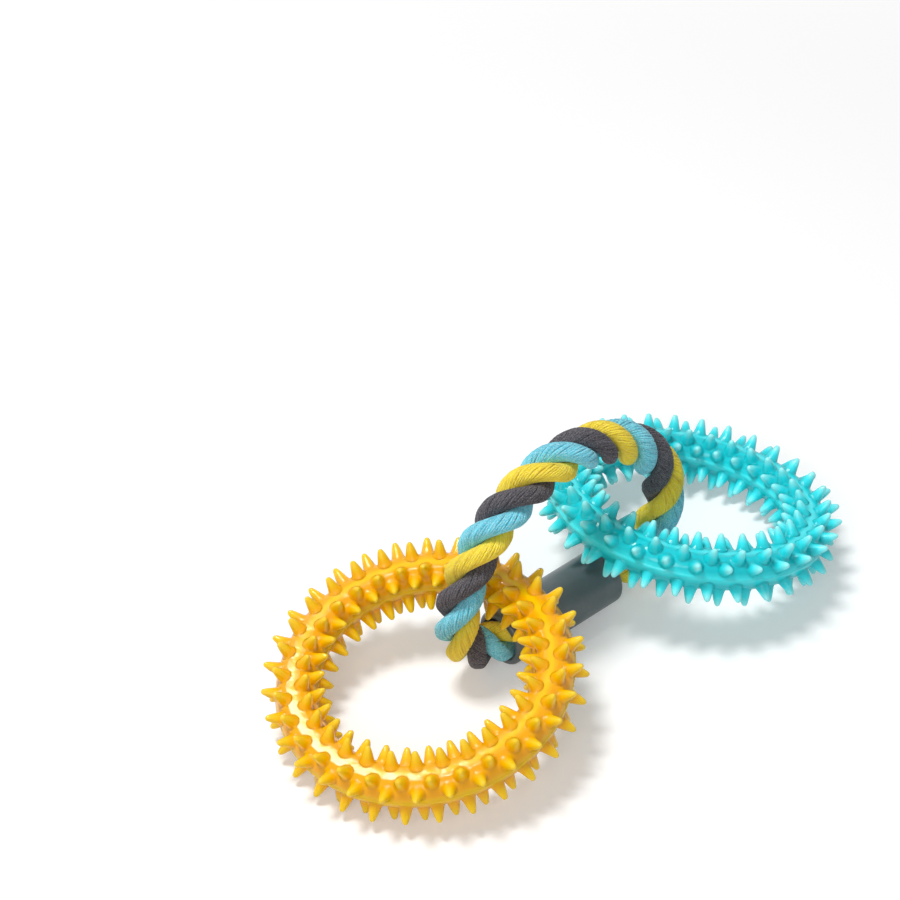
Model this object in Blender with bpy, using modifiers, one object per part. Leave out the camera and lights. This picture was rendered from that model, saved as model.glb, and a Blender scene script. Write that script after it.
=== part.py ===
"""Rope ring dog toy.

A short length of thick three-strand cotton rope is bent into a handle loop.
Its two whipped ends meet inside a rubber grip sleeve, which lies on the floor
along X with the loop standing over it. Two spiked rubber rings are threaded on
the loop: the amber one rests on the sleeve's left end, up against the rope, and
the turquoise one on the sleeve's right end. The far side of each ring lies on
the floor. Lengths are in metres, +Z is up, and the origin is on the floor, on
the sleeve's underside, below the middle of the loop.
"""

import math

import bmesh
import bpy
import numpy as np
from mathutils import Vector

# Rope: circle round its three strands, and how far one strand takes to go once round
ROPE_RADIUS = 0.0082
LAY_PITCH = 0.0385
LAY_PHASE = math.radians(175)
LAY_SLIP = 0.0092
HELIX_SHARE = 0.575
STRAND_CLEARANCE = 0.0003
STRAND_POINTS = 94
STRAND_SIDE_SEGMENTS = 2

# Handle loop: how far it swells past the sleeve's right end, and past its left end up to
# the same distance from the loop's middle, and how far it rises over the sleeve's axis
LOOP_OVERHANG = 0.0297
LOOP_RISE = 0.0690
ROUTE_SAMPLES = 900

# Grip sleeve over the joined rope ends, and how far it has slid to the left
SLEEVE_LENGTH = 0.0535
SLEEVE_SLIDE = 0.00475
SLEEVE_FIT = 0.0003
SLEEVE_WALL = 0.0024
SLEEVE_RIM_RADIUS = 0.0016
SLEEVE_BORE_RIM_RADIUS = 0.0005
REST_FLAT_DEPTH = 0.0003
SLEEVE_STEPS = 36
RIM_SEGMENTS = 4
BORE_RIM_SEGMENTS = 1

# Whipping of waxed thread that holds each rope end
WHIPPING_THICKNESS = 0.0008
WHIPPING_LENGTH = 0.0090
WHIPPING_SETBACK = 0.0020
WHIPPING_FIT = 0.0003
WHIPPING_STEPS = 20
BEAD_SEGMENTS = 2
END_SPACE = 0.0050
END_TAPER = 0.0060

# Spiked rings
RING_MIDDLE_RADIUS = 0.0460
TUBE_RADIUS = 0.0074
SPIKE_LENGTH = 0.0060
SPIKE_TIP_SHARE = 0.22
SPIKES_PER_ROW = 30
PARTING_RIDGE = 0.0003
RING_SEAT_CLEARANCE = 0.0003
RING_FLOOR_CLEARANCE = 0.0001
SEAT_STEP = 0.0001
SHARP_EDGE = math.radians(35)

# Edges of the bands round a ring's tube, in degrees from its outer side: smooth
# bands at the two parting lines and on the crowns, two rows of spikes between them
BAND_EDGES = (0, 16, 47, 78, 90, 102, 133, 164, 180)
SPIKED_BANDS = {(16, 47): 0, (47, 78): 1, (102, 133): 0, (133, 164): 1}
LOWEST_ROW_EDGE = math.radians(-66)

# Where each ring lies: turned towards the front, rolled about the line from its seat
# through its centre, so that its back is the lower side, and the turquoise ring set in
# from the sleeve's end
AMBER_TURN = math.radians(9.3)
AMBER_ROLL = math.radians(1.7)
AMBER_SPIKE_PHASE = -0.4
TURQUOISE_TURN = math.radians(5.8)
TURQUOISE_ROLL = math.radians(3.6)
TURQUOISE_SPIKE_PHASE = -0.1
TURQUOISE_SEAT_INSET = 0.0048
TILT_LIMIT = math.radians(45)
TILT_HALVINGS = 40

OVERRUN = 0.002
MERGE_DISTANCE = 0.00001

BORE_RADIUS = ROPE_RADIUS + SLEEVE_FIT
ROPE_END_RADIUS = BORE_RADIUS - 2 * WHIPPING_FIT - WHIPPING_THICKNESS
SLEEVE_RADIUS = BORE_RADIUS + SLEEVE_WALL
SLEEVE_RIGHT_REACH = SLEEVE_LENGTH / 2 - SLEEVE_SLIDE
SLEEVE_LEFT_REACH = SLEEVE_LENGTH / 2 + SLEEVE_SLIDE
AXIS_HEIGHT = SLEEVE_RADIUS - REST_FLAT_DEPTH
SPIKE_REACH = TUBE_RADIUS + SPIKE_LENGTH

# Half of the loop, from the sleeve's end to its top. The bend's points are shares of
# the overhang past the sleeve, the shoulder's of the half width, and both of the rise.
RIGHT_BEND_SHARES = ((0.53, 0.012), (1.0, 0.26))
LEFT_BEND_SHARES = ((0.55, 0.05), (1.0, 0.26))
SHOULDER_SHARES = (0.775, 0.735)

# Handling has worked the lay along the rope: at shares of its length from the right end,
# shares of the slip
LAY_SLIP_SHARES = ((0.0, 0.0), (0.124, 0.0), (0.396, 1.0), (0.492, 0.65), (0.8, 0.2), (1.0, 0.2))


def clear_scene():
    """Removes every object, mesh, curve and material of the open file."""
    for item in list(bpy.data.objects):
        bpy.data.objects.remove(item)
    for blocks in (bpy.data.meshes, bpy.data.curves, bpy.data.materials):
        for block in list(blocks):
            blocks.remove(block)


def new_collection(name):
    """Adds a collection under the scene's own."""
    collection = bpy.data.collections.new(name)
    bpy.context.scene.collection.children.link(collection)
    return collection


def material(name, colour, roughness, metallic=0.0):
    """Makes a Principled material."""
    made = bpy.data.materials.new(name)
    made.use_nodes = True
    made.diffuse_color = (*colour, 1.0)
    shader = made.node_tree.nodes["Principled BSDF"]
    shader.inputs["Base Color"].default_value = (*colour, 1.0)
    shader.inputs["Roughness"].default_value = roughness
    shader.inputs["Metallic"].default_value = metallic
    return made


def add_object(name, data, collection, finish=None):
    """Links a new object and gives it its material."""
    item = bpy.data.objects.new(name, data)
    collection.objects.link(item)
    if finish is not None:
        data.materials.append(finish)
    return item


def loop_points():
    """Gives the points of the free rope in the XZ plane, sleeve end to sleeve end."""
    half_width = SLEEVE_RIGHT_REACH + LOOP_OVERHANG
    shoulder = (SHOULDER_SHARES[0] * half_width, AXIS_HEIGHT + SHOULDER_SHARES[1] * LOOP_RISE)
    sides = []
    for reach, bend_shares in ((SLEEVE_RIGHT_REACH, RIGHT_BEND_SHARES),
                               (SLEEVE_LEFT_REACH, LEFT_BEND_SHARES)):
        side = [(reach, AXIS_HEIGHT)]
        for out_share, rise_share in bend_shares:
            out = reach + out_share * (half_width - reach)
            side.append((out, AXIS_HEIGHT + rise_share * LOOP_RISE))
        sides.append(side + [shoulder])
    right, left = sides
    top = [(0.0, AXIS_HEIGHT + LOOP_RISE)]
    return np.array(right + top + [(-x, z) for x, z in reversed(left)])


def clamped_spline(points, samples):
    """Runs a smooth curve through points, leaving and returning along +X."""
    chords = np.linalg.norm(np.diff(points, axis=0), axis=1)
    knots = np.concatenate(([0.0], np.cumsum(np.sqrt(chords))))
    steps = np.diff(knots)
    slopes = np.diff(points, axis=0) / steps[:, None]
    along = np.array([1.0, 0.0])
    start_slope = along * np.linalg.norm(slopes[0])
    end_slope = along * np.linalg.norm(slopes[-1])
    size = len(points)
    matrix = np.zeros((size, size))
    right = np.zeros((size, 2))
    matrix[0, :2] = (2 * steps[0], steps[0])
    right[0] = 6 * (slopes[0] - start_slope)
    matrix[-1, -2:] = (steps[-1], 2 * steps[-1])
    right[-1] = 6 * (end_slope - slopes[-1])
    for i in range(1, size - 1):
        matrix[i, i - 1:i + 2] = (steps[i - 1], 2 * (steps[i - 1] + steps[i]), steps[i])
        right[i] = 6 * (slopes[i] - slopes[i - 1])
    bends = np.linalg.solve(matrix, right)
    places = np.linspace(0.0, knots[-1], samples)
    span = np.clip(np.searchsorted(knots, places, side="right") - 1, 0, size - 2)
    width = steps[span][:, None]
    before = (knots[span + 1] - places)[:, None] / width
    after = 1 - before
    curved = (before**3 - before) * bends[span] + (after**3 - after) * bends[span + 1]
    return before * points[span] + after * points[span + 1] + curved * width**2 / 6


def rope_route():
    """Gives the whole rope's centre line in the XZ plane, from end to end."""
    free = clamped_spline(loop_points(), ROUTE_SAMPLES)
    right_end = np.array([[END_SPACE / 2, AXIS_HEIGHT]])
    left_end = np.array([[-END_SPACE / 2, AXIS_HEIGHT]])
    return np.concatenate((right_end, free, left_end))


def even_points(route, count):
    """Gives evenly spaced places, points and unit tangents along a route."""
    lengths = np.concatenate(([0.0], np.cumsum(np.linalg.norm(np.diff(route, axis=0), axis=1))))
    places = np.linspace(0.0, lengths[-1], count)
    points = np.stack([np.interp(places, lengths, route[:, i]) for i in range(2)], axis=1)
    nudge = lengths[-1] / (count * 10)
    ahead = np.stack([np.interp(places + nudge, lengths, route[:, i]) for i in range(2)], axis=1)
    behind = np.stack([np.interp(places - nudge, lengths, route[:, i]) for i in range(2)], axis=1)
    tangents = ahead - behind
    return places, points, tangents / np.linalg.norm(tangents, axis=1)[:, None]


def rope_radius_at(places):
    """Gives the rope's radius along its length: it is drawn in where it is whipped."""
    inner = WHIPPING_SETBACK + WHIPPING_LENGTH + WHIPPING_FIT
    from_end = np.minimum(places, places[-1] - places)
    share = np.clip((from_end - inner) / END_TAPER, 0.0, 1.0)
    return ROPE_END_RADIUS + (ROPE_RADIUS - ROPE_END_RADIUS) * eased(share)


def eased(share):
    """Eases a share between 0 and 1 in and out."""
    return share * share * (3 - 2 * share)


def lay_slip(places):
    """Gives how far the lay has slipped along the rope, at places along its whole length."""
    shares = places / places[-1]
    stops, slips = np.array(LAY_SLIP_SHARES).T
    span = np.clip(np.searchsorted(stops, shares, side="right") - 1, 0, len(stops) - 2)
    share = (shares - stops[span]) / (stops[span + 1] - stops[span])
    return LAY_SLIP * (slips[span] + (slips[span + 1] - slips[span]) * eased(share))


def strand_line(route, turn_share, count):
    """Gives one strand's centre line: a right-handed helix round the rope's route."""
    places, points, tangents = even_points(route, count)
    gone = places + END_SPACE / 2 - lay_slip(places)
    angles = LAY_PHASE + turn_share * math.tau - gone * math.tau / LAY_PITCH
    radius = HELIX_SHARE * rope_radius_at(places)
    across = radius * np.cos(angles)
    return np.stack((
        points[:, 0] - tangents[:, 1] * across,
        radius * np.sin(angles),
        points[:, 1] + tangents[:, 0] * across,
    ), axis=1)


def nearest_distance(points, line):
    """Gives each point's distance to the nearest point of a finely divided line."""
    return np.min(np.linalg.norm(points[:, None] - line[None], axis=2), axis=1)


def add_strand(name, route, turn_share, collection, finish):
    """Adds one strand, as thick as its two neighbours leave room for."""
    centre = strand_line(route, turn_share, STRAND_POINTS)
    places = even_points(route, STRAND_POINTS)[0]
    radii = (1 - HELIX_SHARE) * rope_radius_at(places)
    for step in (1, 2):
        neighbour = strand_line(route, turn_share + step / 3, len(route))
        room = (nearest_distance(centre, neighbour) - STRAND_CLEARANCE) / 2
        radii = np.minimum(radii, room)
    curve = bpy.data.curves.new(name, "CURVE")
    curve.dimensions = "3D"
    curve.bevel_depth = ROPE_RADIUS
    curve.bevel_resolution = STRAND_SIDE_SEGMENTS
    curve.use_fill_caps = True
    spline = curve.splines.new("POLY")
    spline.points.add(len(centre) - 1)
    for point, place, radius in zip(spline.points, centre, radii):
        point.co = (*place, 1.0)
        point.radius = radius / ROPE_RADIUS
    return add_object(name, curve, collection, finish)


def quarter_arc(centre, radius, start, end, segments):
    """Gives the points of an arc in the XZ plane, both ends included."""
    angles = np.linspace(math.radians(start), math.radians(end), segments + 1)
    return [(centre[0] + radius * math.cos(a), centre[1] + radius * math.sin(a)) for a in angles]


def turned(name, profile, steps, collection, finish):
    """Turns a closed profile round Z with a Screw modifier."""
    mesh = bpy.data.meshes.new(name)
    count = len(profile)
    edges = [(i, (i + 1) % count) for i in range(count)]
    mesh.from_pydata([(x, 0.0, z) for x, z in profile], edges, [])
    item = add_object(name, mesh, collection, finish)
    screw = item.modifiers.new("turn", "SCREW")
    screw.steps = steps
    screw.render_steps = steps
    screw.use_merge_vertices = True
    screw.merge_threshold = MERGE_DISTANCE
    screw.use_smooth_shade = True
    return item


def add_sleeve(collection, cutters, finish):
    """Adds the grip sleeve: a rubber tube with rounded rims and a flat to rest on."""
    half = SLEEVE_LENGTH / 2
    rim = min(SLEEVE_RIM_RADIUS, SLEEVE_WALL / 2)
    bore_rim = min(SLEEVE_BORE_RIM_RADIUS, SLEEVE_WALL / 4)
    outer = SLEEVE_RADIUS - rim
    inner = BORE_RADIUS + bore_rim
    profile = quarter_arc((outer, half - rim), rim, 90, 0, RIM_SEGMENTS)
    profile += quarter_arc((outer, rim - half), rim, 0, -90, RIM_SEGMENTS)
    profile += quarter_arc((inner, bore_rim - half), bore_rim, -90, -180, BORE_RIM_SEGMENTS)
    profile += quarter_arc((inner, half - bore_rim), bore_rim, 180, 90, BORE_RIM_SEGMENTS)
    sleeve = turned("grip_sleeve", profile, SLEEVE_STEPS, collection, finish)
    sleeve.location = (-SLEEVE_SLIDE, 0.0, AXIS_HEIGHT)
    sleeve.rotation_euler = (0.0, math.radians(90), 0.0)

    cut_height = REST_FLAT_DEPTH + OVERRUN
    bpy.ops.mesh.primitive_cube_add(size=1)
    cutter = bpy.context.active_object
    cutter.name = "sleeve_flat_cutter"
    for owner in list(cutter.users_collection):
        owner.objects.unlink(cutter)
    cutters.objects.link(cutter)
    cutter.dimensions = (SLEEVE_LENGTH + OVERRUN, 2 * SLEEVE_RADIUS, cut_height)
    cutter.location = (-SLEEVE_SLIDE, 0.0, -cut_height / 2)
    cutter.hide_render = True
    cutter.display_type = "WIRE"
    cut = sleeve.modifiers.new("rest flat", "BOOLEAN")
    cut.operation = "DIFFERENCE"
    cut.object = cutter
    return sleeve


def add_whipping(name, side, collection, finish):
    """Adds the thread binding round one rope end, inside the sleeve."""
    inner = ROPE_END_RADIUS + WHIPPING_FIT
    outer = inner + WHIPPING_THICKNESS
    half = WHIPPING_LENGTH / 2
    bead = WHIPPING_THICKNESS / 2
    profile = quarter_arc((outer - bead, half - bead), bead, 90, 0, BEAD_SEGMENTS)
    profile += quarter_arc((outer - bead, bead - half), bead, 0, -90, BEAD_SEGMENTS)
    profile += [(inner, -half), (inner, half)]
    whipping = turned(name, profile, WHIPPING_STEPS, collection, finish)
    middle = END_SPACE / 2 + WHIPPING_SETBACK + half
    whipping.location = (side * middle, 0.0, AXIS_HEIGHT)
    whipping.rotation_euler = (0.0, math.radians(90), 0.0)
    return whipping


def band_angles():
    """Lists the angles round the tube's section at which a ring's bands begin."""
    upper = list(BAND_EDGES)
    lower = [-edge for edge in reversed(BAND_EDGES[1:-1])]
    return upper + lower


def tube_section():
    """Gives the tube's section as points round its own centre, outer side first."""
    section = []
    for degrees in band_angles():
        on_parting_line = degrees in (0, 180)
        radius = TUBE_RADIUS + (PARTING_RIDGE if on_parting_line else 0.0)
        angle = math.radians(degrees)
        section.append((radius * math.cos(angle), radius * math.sin(angle)))
    return section


def spiked_row(low, high):
    """Tells which half of the pitch a band's spikes stand on, or None if it is smooth."""
    for (start, end), offset in SPIKED_BANDS.items():
        if low == start and high == end:
            return offset
        if low == -end and high == -start:
            return 1 - offset
    return None


def add_ring(name, spike_phase, collection, finish):
    """Adds a spiked ring, its tube's centre at the origin and its own centre along +X."""
    cells = 2 * SPIKES_PER_ROW
    angles = band_angles()
    section = tube_section()
    bm = bmesh.new()
    rounds = []
    for x, z in section:
        swing = []
        for step in range(cells):
            turn = math.tau * (step + spike_phase) / cells
            radius = RING_MIDDLE_RADIUS + x
            swing.append(bm.verts.new((radius * math.cos(turn), radius * math.sin(turn), z)))
        rounds.append(swing)
    spiked = []
    for band, low in enumerate(angles):
        high = angles[(band + 1) % len(angles)]
        row = spiked_row(low, high)
        near, far = rounds[band], rounds[(band + 1) % len(angles)]
        for step in range(cells):
            ahead = (step + 1) % cells
            face = bm.faces.new((near[step], near[ahead], far[ahead], far[step]))
            if row is not None and step % 2 == row:
                spiked.append((face, math.radians((low + high) / 2), step))
    grown = bmesh.ops.extrude_discrete_faces(bm, faces=[face for face, _, _ in spiked])
    for face, (_, lean, step) in zip(grown["faces"], spiked):
        turn = math.tau * (step + spike_phase + 0.5) / cells
        outward = Vector((math.cos(turn), math.sin(turn), 0.0))
        point = outward * math.cos(lean) + Vector((0.0, 0.0, math.sin(lean)))
        tip = outward * RING_MIDDLE_RADIUS + point * SPIKE_REACH
        middle = face.calc_center_median()
        for vert in face.verts:
            offset = vert.co - middle
            offset -= point * offset.dot(point)
            vert.co = tip + offset * SPIKE_TIP_SHARE
    bmesh.ops.translate(bm, verts=bm.verts, vec=(RING_MIDDLE_RADIUS, 0.0, 0.0))
    bmesh.ops.recalc_face_normals(bm, faces=bm.faces)
    mesh = bpy.data.meshes.new(name)
    bm.to_mesh(mesh)
    bm.free()
    mesh.shade_smooth()
    mesh.set_sharp_from_angle(angle=SHARP_EDGE)
    return add_object(name, mesh, collection, finish)


def seat_height():
    """Gives the height at which a ring's tube lies across the sleeve."""
    return AXIS_HEIGHT + SLEEVE_RADIUS + SPIKE_REACH + RING_SEAT_CLEARANCE


def amber_seat(route):
    """Finds where the amber ring's tube lies on the sleeve, up against the rope's left leg."""
    room = ROPE_RADIUS + SPIKE_REACH + RING_SEAT_CLEARANCE
    leg = route[route[:, 0] < 0]
    across = 0.0
    while across > np.min(leg[:, 0]):
        beyond = np.array([across - SEAT_STEP, seat_height()])
        if np.min(np.linalg.norm(leg - beyond, axis=1)) < room:
            break
        across -= SEAT_STEP
    return across, seat_height()


def turquoise_seat():
    """Gives where the turquoise ring's tube lies across the sleeve's right end."""
    return SLEEVE_RIGHT_REACH - TURQUOISE_SEAT_INSET, seat_height()


def lowest_tip(height, tilt, roll):
    """Gives the height of a ring's lowest spike tip, from its seat's height and its pose."""
    level = RING_MIDDLE_RADIUS + SPIKE_REACH * math.cos(LOWEST_ROW_EDGE)
    below = -SPIKE_REACH * math.sin(LOWEST_ROW_EDGE)
    upright = math.cos(tilt) * math.cos(roll)
    centre = height - RING_MIDDLE_RADIUS * math.sin(tilt)
    return centre - below * upright - level * math.sqrt(1 - upright**2)


def ring_tilt(height, roll):
    """Finds how far a ring seated at a height dips, for its far side to reach the floor."""
    shallow, steep = 0.0, TILT_LIMIT
    for _ in range(TILT_HALVINGS):
        middle = (shallow + steep) / 2
        if lowest_tip(height, middle, roll) > RING_FLOOR_CLEARANCE:
            shallow = middle
        else:
            steep = middle
    return shallow


def place_ring(ring, seat, heading, roll):
    """Hangs a ring's empty on its seat, turned, rolled and dipped to the floor."""
    across, height = seat
    hinge = bpy.data.objects.new(ring.name + "_hinge", None)
    hinge.empty_display_size = TUBE_RADIUS
    ring.users_collection[0].objects.link(hinge)
    hinge.location = (across, 0.0, height)
    hinge.rotation_euler = (roll, ring_tilt(height, roll), heading)
    ring.parent = hinge


def build():
    """Builds the whole toy."""
    clear_scene()
    toy = new_collection("rope_ring_dog_toy")
    cutters = new_collection("cutters")
    route = rope_route()
    strands = (
        ("rope_strand_yellow", 0, material("yellow_cotton", (0.60, 0.48, 0.03), 0.9)),
        ("rope_strand_charcoal", 1, material("charcoal_cotton", (0.065, 0.06, 0.07), 0.95)),
        ("rope_strand_blue", 2, material("blue_cotton", (0.10, 0.45, 0.60), 0.9)),
    )
    for name, place, finish in strands:
        add_strand(name, route, place / len(strands), toy, finish)
    add_sleeve(toy, cutters, material("grey_rubber", (0.08, 0.10, 0.11), 0.45))
    thread = material("whipping_thread", (0.70, 0.66, 0.56), 0.8)
    add_whipping("rope_end_whipping_left", -1, toy, thread)
    add_whipping("rope_end_whipping_right", 1, toy, thread)
    amber = material("amber_rubber", (0.85, 0.42, 0.01), 0.25)
    amber_ring = add_ring("amber_ring", AMBER_SPIKE_PHASE, toy, amber)
    place_ring(amber_ring, amber_seat(route), math.pi + AMBER_TURN, AMBER_ROLL)
    turquoise = material("turquoise_rubber", (0.03, 0.60, 0.62), 0.25)
    turquoise_ring = add_ring("turquoise_ring", TURQUOISE_SPIKE_PHASE, toy, turquoise)
    place_ring(turquoise_ring, turquoise_seat(), -TURQUOISE_TURN, -TURQUOISE_ROLL)


build()
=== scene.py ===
"""Looks of the rope ring dog toy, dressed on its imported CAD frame.

The toy is a handle loop of thick three-strand cotton rope, whose whipped ends meet
inside a rubber grip sleeve, with two spiked rubber rings threaded on the loop. Every
length is in metres, in the frame of the CAD model: +Z is up, the sleeve lies along X
and the origin is on its underside, on the floor, below the middle of the loop.
"""

import logging
import math
from dataclasses import dataclass, field
from enum import Enum
from typing import Any

import bpy
import numpy as np
from bpy.types import Material, Mesh, Node, NodeSocket, NodeTree, Object
from mathutils import Euler, Matrix, Vector


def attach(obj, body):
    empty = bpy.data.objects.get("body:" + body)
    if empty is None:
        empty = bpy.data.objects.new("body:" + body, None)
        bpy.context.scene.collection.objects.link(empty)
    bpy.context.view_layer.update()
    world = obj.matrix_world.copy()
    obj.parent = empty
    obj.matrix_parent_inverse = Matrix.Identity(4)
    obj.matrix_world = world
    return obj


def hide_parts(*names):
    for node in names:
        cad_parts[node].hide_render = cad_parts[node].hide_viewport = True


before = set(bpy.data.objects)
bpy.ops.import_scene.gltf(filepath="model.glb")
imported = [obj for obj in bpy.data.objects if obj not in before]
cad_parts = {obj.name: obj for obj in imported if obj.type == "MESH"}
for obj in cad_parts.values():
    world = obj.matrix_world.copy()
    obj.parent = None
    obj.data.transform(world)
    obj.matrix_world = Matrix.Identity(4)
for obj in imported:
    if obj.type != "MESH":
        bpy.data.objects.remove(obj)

LOG = logging.getLogger("rope_ring_dog_toy")

MM = 0.001
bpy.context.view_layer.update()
# Nearly all values of a noise lie between these
NOISE_LOW, NOISE_HIGH = 0.3, 0.7

Pair = tuple[float, float]
Triple = tuple[float, float, float]


class Body(Enum):
    """The CAD bodies that the pieces ride on."""

    HANDLE = "rope_handle"
    AMBER = "amber_ring"
    TURQUOISE = "turquoise_ring"


class Layer(Enum):
    """The mesh attributes that the finishes read."""

    ALONG = "along"      # metres along a yarn or a thread
    TONE = "tone"        # 0 to 1, drawn once for each yarn
    AROUND = "around"    # 0 to 1 once round a yarn or a thread
    OUTWARD = "outward"  # the way out of the strand or the ring's tube
    GIRTH = "girth"      # share of a yarn's full thickness
    # The rubber finish paints shade where the rise is low and a glow where it is high
    RISE = "rise"        # 0 in the hollows between the spikes to 1 on their tips


def linear(code: str) -> tuple[float, float, float, float]:
    """Turns an sRGB hex colour into a shader's linear colour.

    Args:
        code: A hash sign and six hex digits.

    Returns:
        Red, green, blue and an alpha of 1.
    """
    parts = [int(code[i:i + 2], 16) / 255 for i in (1, 3, 5)]
    light = [p / 12.92 if p <= 0.04045 else ((p + 0.055) / 1.055) ** 2.4 for p in parts]
    return light[0], light[1], light[2], 1.0


def eased(share: np.ndarray) -> np.ndarray:
    """Eases shares between 0 and 1 in and out."""
    return share * share * (3 - 2 * share)


def feed(tree: NodeTree, node: Node, inputs: dict[int | str, Any]) -> None:
    """Gives a node's inputs their values and links.

    Args:
        tree: The tree that the node is in.
        node: The node.
        inputs: For an input's name or number, the value that it holds, or the socket or
            the node whose first output it takes.
    """
    for key, value in inputs.items():
        if isinstance(value, Node):
            value = value.outputs[0]
        if isinstance(value, NodeSocket):
            tree.links.new(value, node.inputs[key])
        else:
            node.inputs[key].default_value = value


def add(tree: NodeTree, kind: str, inputs: dict[int | str, Any] | None = None,
        **settings: Any) -> Node:
    """Adds a node to a tree, with its settings, its values and its links.

    Args:
        tree: The shader or geometry tree that gets the node.
        kind: Blender's name of the node's type.
        inputs: What its inputs hold or take, as in feed.
        **settings: The node's own properties.

    Returns:
        The new node.
    """
    node = tree.nodes.new(kind)
    for name, value in settings.items():
        setattr(node, name, value)
    feed(tree, node, inputs or {})
    return node


# Finishes


@dataclass(frozen=True)
class Finish:
    """A real surface finish, made as one Principled material."""

    name: str
    face: str
    roughness: float

    def material(self) -> Material:
        """Makes the material, or gives the one made earlier from the same finish.

        Returns:
            The material.
        """
        made = bpy.data.materials.get(self.name)
        if made is None:
            made = bpy.data.materials.new(self.name)
            made.use_nodes = True
            tree = made.node_tree
            shader = tree.nodes["Principled BSDF"]
            feed(tree, shader, {"Base Color": linear(self.face), "Roughness": self.roughness})
            feed(tree, shader, self.paint(tree))
        return made

    def paint(self, tree: NodeTree) -> dict[str, Any]:
        """Adds nothing, where a finish has no more than its even colour."""
        return {}


def twist_wave(tree: NodeTree, along: NodeSocket, lay: float) -> Node:
    """Makes the wave of the fibres or plies that wind round a thread.

    Args:
        tree: The material's node tree.
        along: The socket of the length along the thread.
        lay: The length of one turn.

    Returns:
        The node of the wave, from -1 to 1.
    """
    around = add(tree, "ShaderNodeAttribute", attribute_name=Layer.AROUND.value).outputs["Fac"]
    turns = add(tree, "ShaderNodeMath", {0: along, 1: 1 / lay, 2: around},
                operation="MULTIPLY_ADD")
    angle = add(tree, "ShaderNodeMath", {0: turns, 1: math.tau}, operation="MULTIPLY")
    return add(tree, "ShaderNodeMath", {0: angle}, operation="SINE")


def blended(tree: NodeTree, value: Node, levels: Pair, colours: tuple[Any, Any],
            most: float = 1.0) -> NodeSocket:
    """Blends one colour into another as a value rises.

    Args:
        tree: The material's node tree.
        value: The node of the value.
        levels: The values at which the blend begins and ends.
        colours: The first and the second colour, each linear or a socket.
        most: The second colour's share at the end.

    Returns:
        The socket of the colour.
    """
    share = add(tree, "ShaderNodeMapRange", {
        "Value": value, "From Min": levels[0], "From Max": levels[1], "To Max": most})
    return add(tree, "ShaderNodeMix", {"Factor": share, "A": colours[0], "B": colours[1]},
               data_type="RGBA").outputs["Result"]


@dataclass(frozen=True)
class DyedCotton(Finish):
    """Piece-dyed cotton yarn, loosely spun: matt, soft, and never one even colour.

    The dye takes unevenly, so each yarn has its own tone and drifts along its length,
    and pale fibre ends that took little dye fleck it. Cotton's short fibres stand off
    the yarn, which gives it a soft pale edge where it turns away.
    """

    shade: str = "#000000"
    fleck: str = "#ffffff"
    fleck_share: float = 0.3
    gloss: float = 0.25
    sheen: float = 0.4
    sheen_roughness: float = 0.5
    slub_length: float = 7 * MM
    yarn_spread: float = 97.0
    drift: float = 0.9
    tones: Pair = (0.25, 1.15)
    # About twice the real width, so that the flecks show
    fleck_size: float = 0.45 * MM
    fleck_roughness: float = 0.65
    fleck_levels: Pair = (0.44, 0.72)
    fleck_relief: float = 3.0
    # Coarser than the real 0.3 mm, so that the fibres' own twist shows
    fibre_lay: float = 1.5 * MM
    fibre_height: float = 0.07 * MM
    bump: float = 0.6

    def paint(self, tree: NodeTree) -> dict[str, Any]:
        """Paints the tones, the flecks and the fibres' twist.

        Args:
            tree: The material's node tree.

        Returns:
            What the shader's inputs hold or take, by their names.
        """
        along, tone = (add(tree, "ShaderNodeAttribute", attribute_name=layer.value).outputs["Fac"]
                       for layer in (Layer.ALONG, Layer.TONE))
        # A yarn's tone drifts along it as its slubs do, each yarn on a line of its own
        line = add(tree, "ShaderNodeCombineXYZ", {
            "X": add(tree, "ShaderNodeMath", {0: along, 1: 1 / self.slub_length},
                     operation="MULTIPLY"),
            "Y": add(tree, "ShaderNodeMath", {0: tone, 1: self.yarn_spread},
                     operation="MULTIPLY")})
        noise = add(tree, "ShaderNodeTexNoise", {"Vector": line, "Scale": 1.0, "Detail": 3.0})
        blend = add(tree, "ShaderNodeMath", {0: noise, 1: self.drift, 2: tone},
                    operation="MULTIPLY_ADD")
        ground = blended(tree, blend, self.tones, (linear(self.shade), linear(self.face)))
        spots = add(tree, "ShaderNodeTexNoise", {
            "Vector": add(tree, "ShaderNodeTexCoord").outputs["Object"],
            "Scale": 1 / self.fleck_size, "Detail": 2.0, "Roughness": self.fleck_roughness})
        colour = blended(tree, spots, self.fleck_levels, (ground, linear(self.fleck)),
                         self.fleck_share)
        relief = add(tree, "ShaderNodeMath", {
            0: spots, 1: self.fleck_relief, 2: twist_wave(tree, along, self.fibre_lay)},
            operation="MULTIPLY_ADD")
        bump = add(tree, "ShaderNodeBump", {
            "Height": relief, "Strength": self.bump, "Distance": self.fibre_height})
        return {"Base Color": colour, "Normal": bump, "Specular IOR Level": self.gloss,
                "Sheen Weight": self.sheen, "Sheen Roughness": self.sheen_roughness,
                "Sheen Tint": linear(self.fleck)}


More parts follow.
